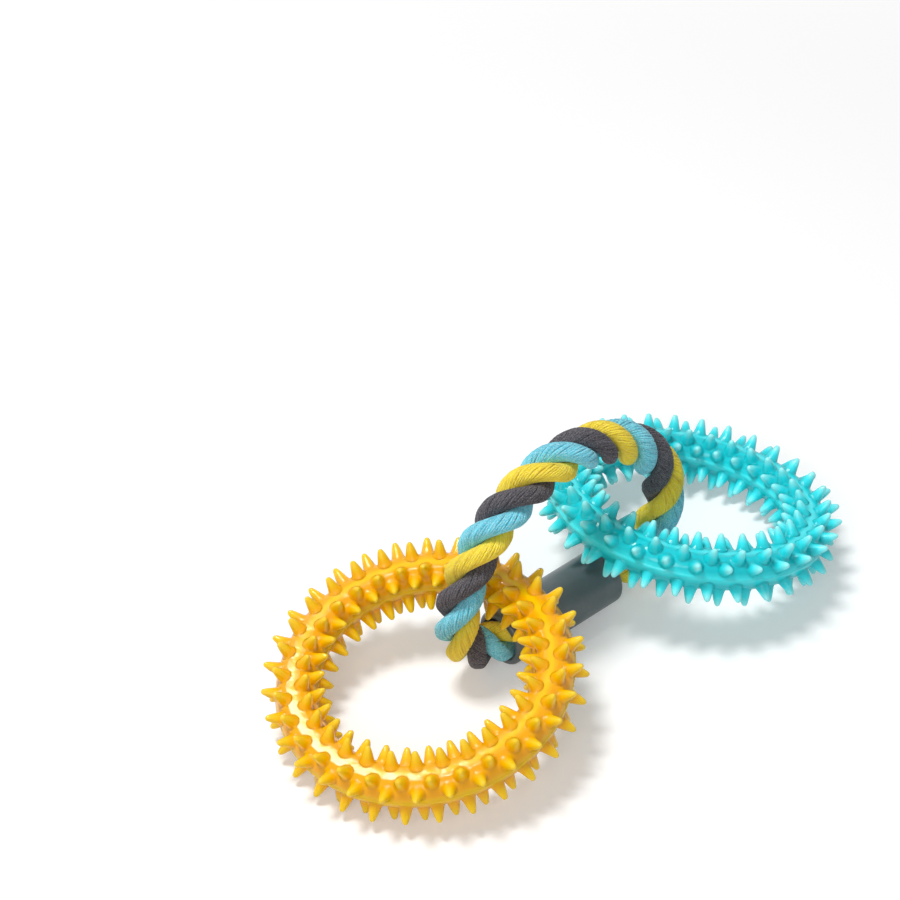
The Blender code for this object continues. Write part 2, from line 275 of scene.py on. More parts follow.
@dataclass(frozen=True)
class ChewRubber(Finish):
    """Injection moulded thermoplastic rubber: soft, glossy and a little translucent.

    Light goes about a millimetre into it. Its thin spike tips are painted lighter, a
    painted glow, and the hollows between them a deeper, fuller colour, a painted shade.
    The polished mould leaves sharp highlights that waver slightly, because soft rubber
    shrinks unevenly.
    """

    # The hollows' colour is a painted shade and the tips' colour a painted glow
    hollow_painted_shade: str = "#000000"
    tip: str = "#ffffff"
    reach: Triple = (1.0, 1.0, 1.0)
    depth: float = 1.2 * MM
    translucence: float = 0.15
    ior: float = 1.5
    gloss: float = 0.28
    gloss_spread: Pair = (-0.03, 0.05)
    clouding: float = 0.25
    # Shares of the rise between which the hollows' painted shade gives way to the body's
    # colour, then that to the tips' painted glow
    body_levels: Pair = (0.1, 0.6)
    tip_levels: Pair = (0.55, 1.1)
    waver_size: float = 5.5 * MM
    waver_height: float = 0.34 * MM
    bump: float = 0.5
    blend_radius: float = 0.8 * MM
    blend_levels: Pair = (0.5, 0.75)

    def paint(self, tree: NodeTree) -> dict[str, Any]:
        """Paints shade into the hollows, a glow onto the spike tips, and the wavering gloss.

        Args:
            tree: The material's node tree.

        Returns:
            What the shader's inputs hold or take, by their names.
        """
        rise = add(tree, "ShaderNodeAttribute", attribute_name=Layer.RISE.value).outputs["Fac"]
        cloud = add(tree, "ShaderNodeTexNoise", {
            "Vector": add(tree, "ShaderNodeTexCoord").outputs["Object"],
            "Scale": 1 / self.waver_size, "Detail": 2.0})
        level = add(tree, "ShaderNodeMath", {0: cloud, 1: self.clouding, 2: rise},
                    operation="MULTIPLY_ADD")
        # Painted shade in the hollows, then the body's colour, then a painted glow on the tips
        colour = linear(self.hollow_painted_shade)
        for tint, levels in ((self.face, self.body_levels), (self.tip, self.tip_levels)):
            colour = blended(tree, level, levels, (colour, linear(tint)))
        duller, glossier = self.gloss_spread
        gloss = add(tree, "ShaderNodeMapRange", {
            "Value": cloud, "From Min": NOISE_LOW, "From Max": NOISE_HIGH,
            "To Min": self.roughness + duller, "To Max": self.roughness + glossier})
        # A mould's cutter leaves no sharp corner where a spike's foot meets the tube
        upper = add(tree, "ShaderNodeMapRange", {
            "Value": rise, "From Min": self.blend_levels[0], "From Max": self.blend_levels[1]})
        shape = add(tree, "ShaderNodeMix", {
            0: upper, "A": add(tree, "ShaderNodeBevel", {"Radius": self.blend_radius}),
            "B": add(tree, "ShaderNodeNewGeometry").outputs["Normal"]}, data_type="VECTOR")
        bump = add(tree, "ShaderNodeBump", {
            "Height": cloud, "Strength": self.bump, "Distance": self.waver_height,
            "Normal": shape.outputs["Result"]})
        return {"Base Color": colour, "Roughness": gloss, "Normal": bump, "IOR": self.ior,
                "Specular IOR Level": self.gloss, "Subsurface Weight": self.translucence,
                "Subsurface Radius": self.reach, "Subsurface Scale": self.depth}


@dataclass(frozen=True)
class SleeveRubber(Finish):
    """Extruded and tumbled nitrile-like rubber: slate grey, satin, faintly grained.

    The grain spreads the highlight along the tube, and rubbing has polished it a little
    unevenly, so the sheen is cloudy rather than even.
    """

    worn: str = "#ffffff"
    ior: float = 1.52
    cloud: float = 9 * MM
    cloud_roughness: float = 0.6
    wear_levels: Pair = (0.35, 0.75)
    gloss_spread: float = 0.05
    grain: float = 0.35 * MM
    grain_height: float = 0.02 * MM
    bump: float = 0.5

    def paint(self, tree: NodeTree) -> dict[str, Any]:
        """Paints the cloudy sheen and the grain.

        Args:
            tree: The material's node tree.

        Returns:
            What the shader's inputs hold or take, by their names.
        """
        place = add(tree, "ShaderNodeTexCoord").outputs["Object"]
        rubbed = add(tree, "ShaderNodeTexNoise", {
            "Vector": place, "Scale": 1 / self.cloud, "Detail": 4.0,
            "Roughness": self.cloud_roughness})
        colour = blended(tree, rubbed, self.wear_levels, (linear(self.face), linear(self.worn)))
        gloss = add(tree, "ShaderNodeMapRange", {
            "Value": rubbed, "From Min": NOISE_LOW, "From Max": NOISE_HIGH,
            "To Min": self.roughness + self.gloss_spread,
            "To Max": self.roughness - self.gloss_spread})
        grains = add(tree, "ShaderNodeTexNoise", {
            "Vector": place, "Scale": 1 / self.grain, "Detail": 2.0})
        bump = add(tree, "ShaderNodeBump", {
            "Height": grains, "Strength": self.bump, "Distance": self.grain_height})
        return {"Base Color": colour, "Roughness": gloss, "Normal": bump, "IOR": self.ior}


@dataclass(frozen=True)
class WaxedThread(Finish):
    """Waxed linen thread: pale, with the wax's dull sheen and its two plies showing."""

    ply: str = "#000000"
    ply_lay: float = 1.2 * MM
    ply_height: float = 0.05 * MM
    bump: float = 0.6

    def paint(self, tree: NodeTree) -> dict[str, Any]:
        """Paints the two plies that wind round the thread.

        Args:
            tree: The material's node tree.

        Returns:
            What the shader's inputs hold or take, by their names.
        """
        along = add(tree, "ShaderNodeAttribute", attribute_name=Layer.ALONG.value).outputs["Fac"]
        wave = twist_wave(tree, along, self.ply_lay)
        colour = blended(tree, wave, (-1.0, 1.0), (linear(self.ply), linear(self.face)))
        bump = add(tree, "ShaderNodeBump", {
            "Height": wave, "Strength": self.bump, "Distance": self.ply_height})
        return {"Base Color": colour, "Normal": bump}


YELLOW_COTTON = DyedCotton("yellow_dyed_cotton", "#F6DC30", 0.85, shade="#DCB81C",
                           fleck="#FFF7B0", fleck_share=0.4)
CHARCOAL_COTTON = DyedCotton("charcoal_melange_cotton", "#4A484D", 0.88, shade="#2E2C31",
                             fleck="#A8A3A9", fleck_share=0.5)
BLUE_COTTON = DyedCotton("blue_dyed_cotton", "#66D4EA", 0.85, shade="#3AA6BE",
                         fleck="#DCF9FD", fleck_share=0.65)
# Each rubber's hollow colour is a painted shade and its tip colour a painted glow
AMBER_RUBBER = ChewRubber("amber_moulded_rubber", "#F6C602", 0.12, hollow_painted_shade="#F6AC00",
                          tip="#FAD024", reach=(1.0, 0.5, 0.05))
TURQUOISE_RUBBER = ChewRubber("turquoise_moulded_rubber", "#3AECF4", 0.14, hollow_painted_shade="#00C6D0",
                              tip="#9CF8FC", reach=(0.2, 0.9, 1.0))
GREY_RUBBER = SleeveRubber("slate_grey_satin_rubber", "#525B5E", 0.38, worn="#5F686B")
LINEN_THREAD = WaxedThread("waxed_linen_thread", "#D9D2C0", 0.55, ply="#B8AF98")


# Meshes


def link(name: str, data: Any) -> Object:
    """Puts a mesh, a lamp or a camera into the scene as an object at the origin.

    Args:
        name: The name of the object and its data.
        data: The mesh, or the data of the lamp or the camera.

    Returns:
        The new object.
    """
    data.name = name
    made = bpy.data.objects.new(name, data)
    bpy.context.scene.collection.objects.link(made)
    return made


def set_layer(mesh: Mesh, layer: Layer, values: np.ndarray) -> None:
    """Stores one value for each vertex as a mesh attribute.

    Args:
        mesh: The mesh.
        layer: The attribute.
        values: One number, or one row of three, for each vertex.
    """
    is_vector = values.ndim == 2
    made = mesh.attributes.new(layer.value, "FLOAT_VECTOR" if is_vector else "FLOAT", "POINT")
    made.data.foreach_set("vector" if is_vector else "value",
                          np.ascontiguousarray(values, np.float32).ravel())


def swept(rings: np.ndarray, closed: bool) -> Mesh:
    """Makes a tube's mesh from its rings of points.

    Args:
        rings: The points, as rings by points by three, all turning the same way.
        closed: Whether the last ring joins the first. If not, each end is capped.

    Returns:
        The mesh, smooth, with its faces outwards.
    """
    count, size = rings.shape[:2]
    steps = count if closed else count - 1
    i, j = np.meshgrid(np.arange(steps), np.arange(size), indexing="ij")
    ahead, beside = (i + 1) % count, (j + 1) % size
    faces = np.stack((i * size + j, i * size + beside, ahead * size + beside, ahead * size + j),
                     axis=-1).reshape(-1, 4).tolist()
    if not closed:
        faces.append(list(range(size - 1, -1, -1)))
        faces.append([(count - 1) * size + k for k in range(size)])
    mesh = bpy.data.meshes.new("tube")
    mesh.from_pydata(rings.reshape(-1, 3).tolist(), [], faces)
    mesh.shade_smooth()
    if signed_volume(mesh) < 0:
        mesh.flip_normals()
    return mesh


def signed_volume(mesh: Mesh) -> float:
    """Gives a closed mesh's volume.

    Args:
        mesh: The mesh.

    Returns:
        The volume, below zero where the faces point inwards.
    """
    mesh.calc_loop_triangles()
    total = 0.0
    for triangle in mesh.loop_triangles:
        a, b, c = (mesh.vertices[v].co for v in triangle.vertices)
        total += a.dot(b.cross(c)) / 6
    return total


@dataclass
class NodeBuild:
    """A Geometry Nodes tree with named inputs, and how it is baked to a plain mesh."""

    name: str
    tree: NodeTree = field(init=False)
    start: Node = field(init=False)

    def __post_init__(self) -> None:
        """Makes the empty tree, with geometry in and geometry out."""
        self.tree = bpy.data.node_groups.new(self.name, "GeometryNodeTree")
        for way in ("INPUT", "OUTPUT"):
            self.tree.interface.new_socket("Geometry", in_out=way,
                                           socket_type="NodeSocketGeometry")

    def takes(self, **kinds: str) -> None:
        """Adds the tree's named inputs.

        Args:
            **kinds: Each input's name, with _ for a space, and its socket's kind.
        """
        for name, kind in kinds.items():
            self.tree.interface.new_socket(name.replace("_", " "), in_out="INPUT",
                                           socket_type="NodeSocket" + kind)
        self.start = self.tree.nodes.new("NodeGroupInput")

    def thread_section(self, radius: str) -> Node:
        """Adds the circle that a yarn or a thread is swept with, marked once round it.

        Args:
            radius: The name of the input that holds its radius.

        Returns:
            The node of the marked circle.
        """
        circle = add(self.tree, "GeometryNodeCurvePrimitiveCircle", {
            "Resolution": self.start.outputs["Sides"], "Radius": self.start.outputs[radius]})
        return add(self.tree, "GeometryNodeStoreNamedAttribute", {
            "Geometry": circle, "Name": Layer.AROUND.value,
            "Value": add(self.tree, "GeometryNodeSplineParameter").outputs["Factor"]})

    def end(self, geometry: Node, other: str = "") -> None:
        """Ends the tree: smooth, real and in its material.

        Args:
            geometry: The node of the finished shape.
            other: The name of the input that holds an object to join to it, if any.
        """
        if other:
            joined = add(self.tree, "GeometryNodeJoinGeometry", {"Geometry": geometry})
            mesh = add(self.tree, "GeometryNodeObjectInfo", {"Object": self.start.outputs[other]})
            feed(self.tree, joined, {"Geometry": mesh.outputs["Geometry"]})
            geometry = joined
        smooth = add(self.tree, "GeometryNodeSetShadeSmooth", {"Geometry": geometry})
        real = add(self.tree, "GeometryNodeRealizeInstances", {"Geometry": smooth})
        dressed = add(self.tree, "GeometryNodeSetMaterial", {
            "Geometry": real, "Material": self.start.outputs["Material"]})
        add(self.tree, "NodeGroupOutput", {0: dressed})

    def bake(self, name: str, guide: Mesh, values: dict[str, Any]) -> Object:
        """Runs the tree on a guide mesh and keeps the result as a plain mesh.

        Args:
            name: The new piece's name.
            guide: The mesh that the tree starts from.
            values: For each input's name, its value. Objects among them are used up.

        Returns:
            The piece, with no modifier left.
        """
        carrier = link(name + "_guide", guide)
        modifier = carrier.modifiers.new(self.name, "NODES")
        modifier.node_group = self.tree
        for item in self.tree.interface.items_tree:
            if item.in_out == "INPUT" and item.name in values:
                modifier[item.identifier] = values[item.name]
        graph = bpy.context.evaluated_depsgraph_get()
        mesh = bpy.data.meshes.new_from_object(
            carrier.evaluated_get(graph), preserve_all_data_layers=True, depsgraph=graph)
        for used in (carrier, *(value for value in values.values() if isinstance(value, Object))):
            bpy.data.objects.remove(used)
        return link(name, mesh)


def hand_over(piece: Object, node: str, body: Body = Body.HANDLE) -> Object:
    """Puts a piece in the place of its CAD node.

    Args:
        piece: The finished piece.
        node: The CAD node that it replaces.
        body: The body that it rides on.

    Returns:
        The piece.
    """
    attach(piece, body.value)
    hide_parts(node)
    return piece


# Rope


@dataclass
class RopeRoute:
    """The rope's centre line in the XZ plane, from its right end over the top to its left.

    The bends' points are shares of the overhang past the sleeve and of the rise, the
    shoulders' of the half width and of the rise, as in the CAD model. At shares of the
    rope's length, handling has worked its lay along by shares of the slip.
    """

    sleeve_right: float = 22 * MM
    sleeve_left: float = 31.5 * MM
    half_width: float = 51.7 * MM
    axis_height: float = 10.6 * MM
    rise: float = 69 * MM
    end_space: float = 5 * MM
    right_bend: tuple[Pair, ...] = ((0.53, 0.012), (1.0, 0.26))
    left_bend: tuple[Pair, ...] = ((0.55, 0.05), (1.0, 0.26))
    shoulder: Pair = (0.775, 0.735)
    slip: float = 9.2 * MM
    slip_shares: tuple[Pair, ...] = (
        (0.0, 0.0), (0.124, 0.0), (0.396, 1.0), (0.492, 0.65), (0.8, 0.2), (1.0, 0.2))
    samples: int = 900
    tangent_reach: float = 1.5 * MM

    def __post_init__(self) -> None:
        """Works out the line and its length."""
        free = self.spline(self.knots())
        ends = np.array([[self.end_space / 2, self.axis_height]])
        self.line = np.concatenate((ends, free, ends * (-1, 1)))
        steps = np.linalg.norm(np.diff(self.line, axis=0), axis=1)
        self.places = np.concatenate(([0.0], np.cumsum(steps)))
        self.length = float(self.places[-1])

    def knots(self) -> np.ndarray:
        """Lists the points of the free rope, sleeve end to sleeve end.

        Returns:
            The points, as rows of x and z.
        """
        right, left = (
            [(reach, self.axis_height),
             *((reach + out * (self.half_width - reach), self.axis_height + up * self.rise)
               for out, up in bend),
             (self.shoulder[0] * self.half_width,
              self.axis_height + self.shoulder[1] * self.rise)]
            for reach, bend in ((self.sleeve_right, self.right_bend),
                                (self.sleeve_left, self.left_bend)))
        top = [(0.0, self.axis_height + self.rise)]
        return np.array(right + top + [(-x, z) for x, z in reversed(left)])

    def spline(self, points: np.ndarray) -> np.ndarray:
        """Runs a smooth curve through points, leaving and returning along +X.

        Args:
            points: The points, as rows of x and z.

        Returns:
            The curve's samples, as rows of x and z.
        """
        chords = np.linalg.norm(np.diff(points, axis=0), axis=1)
        knots = np.concatenate(([0.0], np.cumsum(np.sqrt(chords))))
        steps = np.diff(knots)
        slopes = np.diff(points, axis=0) / steps[:, None]
        along = np.array([1.0, 0.0])
        size = len(points)
        matrix, right = np.zeros((size, size)), np.zeros((size, 2))
        matrix[0, :2] = (2 * steps[0], steps[0])
        right[0] = 6 * (slopes[0] - along * np.linalg.norm(slopes[0]))
        matrix[-1, -2:] = (steps[-1], 2 * steps[-1])
        right[-1] = 6 * (along * np.linalg.norm(slopes[-1]) - slopes[-1])
        for i in range(1, size - 1):
            matrix[i, i - 1:i + 2] = (steps[i - 1], 2 * (steps[i - 1] + steps[i]), steps[i])
            right[i] = 6 * (slopes[i] - slopes[i - 1])
        bends = np.linalg.solve(matrix, right)
        places = np.linspace(0.0, knots[-1], self.samples)
        span = np.clip(np.searchsorted(knots, places, side="right") - 1, 0, size - 2)
        width = steps[span][:, None]
        before = (knots[span + 1] - places)[:, None] / width
        after = 1 - before
        curved = (before**3 - before) * bends[span] + (after**3 - after) * bends[span + 1]
        return before * points[span] + after * points[span + 1] + curved * width**2 / 6

    def at(self, places: np.ndarray) -> np.ndarray:
        """Gives the line's points at some lengths along it, as rows of x and z."""
        return np.stack([np.interp(places, self.places, self.line[:, i]) for i in (0, 1)], axis=-1)

    def slip_at(self, places: np.ndarray) -> np.ndarray:
        """Gives how far the lay has slipped along the rope.

        Args:
            places: Lengths along the line.

        Returns:
            The slip at each place.
        """
        stops, slips = np.array(self.slip_shares).T
        shares = np.clip(places / self.length, 0.0, 1.0)
        span = np.clip(np.searchsorted(stops, shares, side="right") - 1, 0, len(stops) - 2)
        share = (shares - stops[span]) / (stops[span + 1] - stops[span])
        return self.slip * (slips[span] + (slips[span + 1] - slips[span]) * eased(share))

    def frames(self, places: np.ndarray) -> tuple[np.ndarray, np.ndarray, np.ndarray]:
        """Gives the line and the two directions across it.

        Args:
            places: Lengths along the line.

        Returns:
            The points, the directions across it in its own plane, and +Y, as rows of three.
        """
        low = self.at(np.maximum(places - self.tangent_reach, 0))
        tangent = self.at(places + self.tangent_reach) - low
        tangent /= np.linalg.norm(tangent, axis=-1)[..., None]
        flat = self.at(places)
        zero = np.zeros(flat.shape[:-1])
        centre = np.stack((flat[..., 0], zero, flat[..., 1]), axis=-1)
        across = np.stack((-tangent[..., 1], zero, tangent[..., 0]), axis=-1)
        return centre, across, np.stack((zero, zero + 1, zero), axis=-1)


@dataclass
class Strand:
    """One strand of the rope: yarns laid side by side round a core.

    Three strands press each other into petals, so a strand's section is a rounded
    wedge. The yarns turn against the lay, so they run along the rope on its crowns.
    They waver across the strand in waves of random lengths, and swell and thin a little.
    """

    node: str
    slot: str
    turn_share: float
    finish: DyedCotton
    seed: int
    route: RopeRoute
    rope_radius: float = 8.2 * MM
    end_radius: float = 7.1 * MM
    end_length: float = 11.3 * MM
    end_taper: float = 6 * MM
    lay: float = 38.5 * MM
    phase: float = math.radians(175)
    wedge_half_angle: float = math.radians(60)
    inset: float = 0.10 * MM
    corner_radius: float = 3.55 * MM
    heart: float = 4.6 * MM
    yarn_spacing: float = 0.84 * MM
    yarn_radius: float = 0.52 * MM
    yarn_sides: int = 7
    yarn_step: float = 0.9 * MM
    waver: float = 0.07
    wave_count: int = 12
    wave_lengths: Pair = (30 * MM, 9 * MM)
    swell: float = 0.06
    arc_points: int = 41
    contour_points: int = 721
    core_depth: float = 1.3
    core_step: float = 2.0 * MM
    core_points: int = 36

    def contour(self, margin: float) -> np.ndarray:
        """Gives the strand's section, a rounded wedge, as seen along the rope.

        Args:
            margin: How far inside the strand's surface it lies.

        Returns:
            Even points round it, as rows of distance out from the rope's middle and
            distance across, the first point repeated at the end.
        """
        # What is left of a third of the rope when the corners' radius is taken off all round
        wall = self.wedge_half_angle
        off = self.corner_radius + self.inset
        reach = self.rope_radius - self.corner_radius
        span = wall - math.asin(off / reach)
        arc = np.linspace(-span, span, self.arc_points)
        wedge = np.concatenate(([[off / math.sin(wall), 0.0]],
                                reach * np.stack((np.cos(arc), np.sin(arc)), axis=1)))
        turn = np.linspace(0.0, math.tau, self.contour_points)
        facing = np.stack((np.cos(turn), np.sin(turn)), axis=1)
        line = wedge[np.argmax(facing @ wedge.T, axis=1)] + (self.corner_radius - margin) * facing
        gone = np.concatenate(([0.0], np.cumsum(np.linalg.norm(np.diff(line, axis=0), axis=1))))
        even = np.linspace(0.0, gone[-1], self.contour_points)
        return np.stack([np.interp(even, gone, line[:, i]) for i in (0, 1)], axis=1)

    def girth(self, places: np.ndarray) -> np.ndarray:
        """Gives the share of its full thickness that the rope has.

        Args:
            places: Lengths along the route.

        Returns:
            The share at each place.
        """
        from_end = np.minimum(places, self.route.length - places)
        share = np.clip((from_end - self.end_length) / self.end_taper, 0.0, 1.0)
        least = self.end_radius / self.rope_radius
        return least + (1 - least) * eased(share)

    def lay_on(self, places: np.ndarray, out: np.ndarray, across: np.ndarray) -> np.ndarray:
        """Places points of the strand's section along the route, turned by the lay.

        Args:
            places: Lengths along the route.
            out: Distances out from the rope's middle, towards the strand's crown.
            across: Distances to the side of that.

        Returns:
            The points, as rows of three.
        """
        centre, flat, side = self.route.frames(places)
        gone = places + self.route.end_space / 2 - self.route.slip_at(places)
        angle = self.phase + self.turn_share * math.tau - gone * math.tau / self.lay
        share = self.girth(places)
        reach = (share * (out * np.cos(angle) - across * np.sin(angle)))[..., None]
        lift = (share * (out * np.sin(angle) + across * np.cos(angle)))[..., None]
        return centre + reach * flat + lift * side

    def guide(self) -> Mesh:
        """Makes the yarns' lines, with what the tree and the finish read of them.

        Returns:
            A mesh of one chain of edges for each yarn.
        """
        section = self.contour(self.yarn_radius)
        shares = np.linspace(0.0, 1.0, len(section))
        girth = float(np.sum(np.linalg.norm(np.diff(section, axis=0), axis=1)))
        yarns = round(girth / self.yarn_spacing)
        steps = round(self.route.length / self.yarn_step)
        # On the crown a yarn slides back across the strand as fast as the lay carries it
        slide = (self.rope_radius - self.yarn_radius) * math.tau / self.lay / girth
        places = np.linspace(0.0, self.route.length, steps)
        first, place = np.meshgrid(np.arange(yarns) / yarns, places, indexing="ij")
        random = np.random.default_rng(self.seed)
        waves = (yarns, self.wave_count)
        longest, shortest = self.wave_lengths
        waver = random.normal(0.0, self.waver, waves) / yarns
        phases = random.uniform(0.0, math.tau, waves)
        rates = random.uniform(math.tau / longest, math.tau / shortest, waves)
        drift = np.sum(waver[:, None] * np.sin(rates[:, None] * places[None, :, None]
                                               + phases[:, None]), axis=2)
        where = (first + slide * place + drift) % 1.0
        out, across = (np.interp(where, shares, section[:, i]) for i in (0, 1))
        points = self.lay_on(place, out, across)
        heart = self.lay_on(place, np.full_like(place, self.heart), np.zeros_like(place))
        outward = points - heart
        outward /= np.linalg.norm(outward, axis=-1)[..., None]
        index = np.arange(yarns * steps).reshape(yarns, steps)
        edges = np.stack((index[:, :-1].ravel(), index[:, 1:].ravel()), axis=1)
        mesh = bpy.data.meshes.new(self.node)
        mesh.from_pydata(points.reshape(-1, 3).tolist(), edges.tolist(), [])
        tone = np.repeat(random.uniform(0.0, 1.0, yarns), steps)
        swell = 1 + self.swell * np.sin(rates[:, :1] * places[None] * 2 + phases[:, 1:2])
        set_layer(mesh, Layer.ALONG, place.ravel())
        set_layer(mesh, Layer.TONE, tone)
        set_layer(mesh, Layer.GIRTH, (self.girth(place) * swell).ravel())
        set_layer(mesh, Layer.OUTWARD, outward.reshape(-1, 3))
        return mesh

    def core(self) -> Object:
        """Makes the strand's core, which closes the spaces under the yarns.

        Returns:
            The core.
        """
        section = self.contour(self.yarn_radius * self.core_depth)[:-1]
        section = section[np.linspace(0, len(section) - 1, self.core_points).astype(int)]
        places = np.linspace(0.0, self.route.length, round(self.route.length / self.core_step))
        place = np.repeat(places[:, None], len(section), axis=1)
        out, across = (np.repeat(section[None, :, i], len(places), axis=0) for i in (0, 1))
        return link("core", swept(self.lay_on(place, out, across), False))

    def build(self, tree: NodeBuild) -> Object:
        """Makes the strand.

        Args:
            tree: The yarns' tree.

        Returns:
            The strand.
        """
        made = tree.bake(self.node + "_yarns", self.guide(), {
            "Yarn Radius": self.yarn_radius, "Sides": self.yarn_sides, "Core": self.core(),
            "Material": self.finish.material()})
        return hand_over(made, self.node)


@dataclass
class Rope:
    """The handle loop: three strands, laid right-handed round one route."""

    route: RopeRoute
    diameter: float = 16.4 * MM
    first_seed: int = 11
    path_points: int = 140

    def yarn_tree(self) -> NodeBuild:
        """Builds the tree that sweeps a round yarn along each chain of edges.

        Returns:
            The tree.
        """
        build = NodeBuild("yarns_along_strand")
        build.takes(Yarn_Radius="Float", Sides="Int", Core="Object", Material="Material")
        tree, start = build.tree, build.start
        outward, girth = (
            add(tree, "GeometryNodeInputNamedAttribute", {"Name": layer.value}, data_type=kind)
            for layer, kind in ((Layer.OUTWARD, "FLOAT_VECTOR"), (Layer.GIRTH, "FLOAT")))
        chains = add(tree, "GeometryNodeMeshToCurve", {"Mesh": start})
        facing = add(tree, "GeometryNodeSetCurveNormal", {"Curve": chains, "Normal": outward},
                     mode="FREE")
        tubes = add(tree, "GeometryNodeCurveToMesh", {
            "Curve": facing, "Profile Curve": build.thread_section("Yarn Radius"),
            "Scale": girth, "Fill Caps": True})
        build.end(tubes, "Core")
        return build

    def build(self) -> list[Object]:
        """Returns:
            The strands.
        """
        tree = self.yarn_tree()
        cottons = {"yellow": YELLOW_COTTON, "charcoal": CHARCOAL_COTTON, "blue": BLUE_COTTON}
        strands = [
            Strand(f"rope_strand_{name}", f"{name}_cotton", turn / len(cottons), cotton,
                   self.first_seed + turn, self.route).build(tree)
            for turn, (name, cotton) in enumerate(cottons.items())]
        places = np.linspace(0.0, self.route.length, self.path_points)
        path = self.route.frames(places)[0]
        return strands


@dataclass
class Whipping:
    """Thread wound tightly round a rope end, inside the sleeve."""

    node: str
    side: int
    route: RopeRoute
    length: float = 9 * MM
    setback: float = 2 * MM
    inner_radius: float = 7.4 * MM
    thread_radius: float = 0.39 * MM
    points_per_turn: int = 40
    thread_sides: int = 8

    def tree(self) -> NodeBuild:
        """Builds the tree that winds the thread round the rope end.

        Returns:
            The tree.
        """
        build = NodeBuild(self.node + "_turns")
        build.takes(Turns="Float", Points="Int", Winding_Radius="Float", Winding_Length="Float",
                    Thread_Radius="Float", Sides="Int", Place="Vector", Material="Material")
        tree, start = build.tree, build.start
        spiral = add(tree, "GeometryNodeCurveSpiral", {
            "Resolution": start.outputs["Points"], "Rotations": start.outputs["Turns"],
            "Start Radius": start.outputs["Winding Radius"],
            "End Radius": start.outputs["Winding Radius"],
            "Height": start.outputs["Winding Length"]})
        gone = add(tree, "GeometryNodeStoreNamedAttribute", {
            "Geometry": spiral, "Name": Layer.ALONG.value,
            "Value": add(tree, "GeometryNodeSplineParameter").outputs["Length"]})
        thread = add(tree, "GeometryNodeCurveToMesh", {
            "Curve": gone, "Profile Curve": build.thread_section("Thread Radius"),
            "Fill Caps": True})
        build.end(add(tree, "GeometryNodeTransform", {
            "Geometry": thread, "Translation": start.outputs["Place"],
            "Rotation": Euler((0.0, math.radians(90), 0.0))}))
        return build

    def build(self) -> Object:
        """Makes the whipping.

        Returns:
            The whipping.
        """
        turns = self.length / (2 * self.thread_radius) - 1
        winding = self.length - 2 * self.thread_radius
        near = self.route.end_space / 2 + self.setback + self.thread_radius
        start = near if self.side > 0 else -near - winding
        made = self.tree().bake(self.node + "_thread", bpy.data.meshes.new(self.node), {
            "Turns": turns, "Points": self.points_per_turn,
            "Winding Radius": self.inner_radius + self.thread_radius,
            "Winding Length": winding, "Thread Radius": self.thread_radius,
            "Sides": self.thread_sides, "Place": (start, 0.0, self.route.axis_height),
            "Material": LINEN_THREAD.material()})
        return hand_over(made, self.node)


@dataclass
class GripSleeve:
    """The rubber sleeve over the joined rope ends: a tube with softly rounded rims."""

    route: RopeRoute
    bore_radius: float = 8.5 * MM
    wall: float = 2.4 * MM
    rim_radius: float = 1.6 * MM
    bore_rim_radius: float = 0.5 * MM
    steps: int = 128
    rim_steps: int = 8

    def profile(self) -> np.ndarray:
        """Gives the wall's section, its four rims rounded.

        Returns:
            Rows of the distance along the axis and the radius.
        """
        left, right = -self.route.sleeve_left, self.route.sleeve_right
        outer, bore = self.bore_radius + self.wall, self.bore_radius
        big, small = self.rim_radius, self.bore_rim_radius
        corners = ((right - big, outer - big, big), (left + big, outer - big, big),
                   (left + small, bore + small, small), (right - small, bore + small, small))
        rows = []
        for quarter, (x, radius, rim) in enumerate(corners):
            for angle in np.radians(np.linspace(90 * quarter, 90 * quarter + 90,
                                                self.rim_steps + 1)):
                rows.append((x + rim * math.cos(angle), radius + rim * math.sin(angle)))
        return np.array(rows)

    def build(self) -> Object:
        """Makes the sleeve.

        Returns:
            The sleeve.
        """
        profile = self.profile()
        turn = np.linspace(0.0, math.tau, self.steps, endpoint=False)[:, None]
        x = np.repeat(profile[None, :, 0], self.steps, axis=0)
        y = profile[None, :, 1] * np.sin(turn)
        # Its own weight rests it on a narrow flat
        z = np.maximum(self.route.axis_height - profile[None, :, 1] * np.cos(turn), 0.0)
        made = link("grip_sleeve_rubber", swept(np.stack((x, y, z), axis=-1), True))
        made.data.materials.append(GREY_RUBBER.material())
        return hand_over(made, "grip_sleeve")


# Spiked rings


@dataclass
class Spike:
    """One spike: a rounded cone whose foot flares into the tube that it stands on."""

    reach: float
    tube_radius: float
    base_radius: float = 2.55 * MM
    sides: int = 12
    # For each ring of points, shares of the base radius and of the height over the tube
    ring_shares: tuple[Pair, ...] = (
        (1.16, -0.03), (1.03, 0.03), (0.93, 0.12), (0.82, 0.28), (0.63, 0.60),
        (0.43, 0.86), (0.29, 0.955), (0.12, 0.997))
    # The share of the height from which the spike no longer follows the tube
    foot_share: float = 0.5

    def build(self) -> Object:
        """Makes the spike, its foot on the tube and its tip along +Z.

        Returns:
            The spike, with its rise stored on it.
        """
        height = self.reach - self.tube_radius
        turn = np.linspace(0.0, math.tau, self.sides, endpoint=False)
        rings = []
        for width, level in self.ring_shares:
            x = width * self.base_radius * np.cos(turn)
            y = width * self.base_radius * np.sin(turn)
            # The tube falls away to either side of the foot
            fall = (self.tube_radius - np.sqrt(self.tube_radius**2 - y**2)) * max(
                0.0, 1 - max(level, 0.0) / self.foot_share)
            rings.append(np.stack((x, y, self.tube_radius + level * height - fall), axis=1))
        mesh = swept(np.array(rings), False)
        # By this rise the finish paints shade at the foot and a glow towards the tip
        rise = np.repeat([min(1.0, max(0.0, level)) for _, level in self.ring_shares], self.sides)
        set_layer(mesh, Layer.RISE, rise)
        return link("spike", mesh)


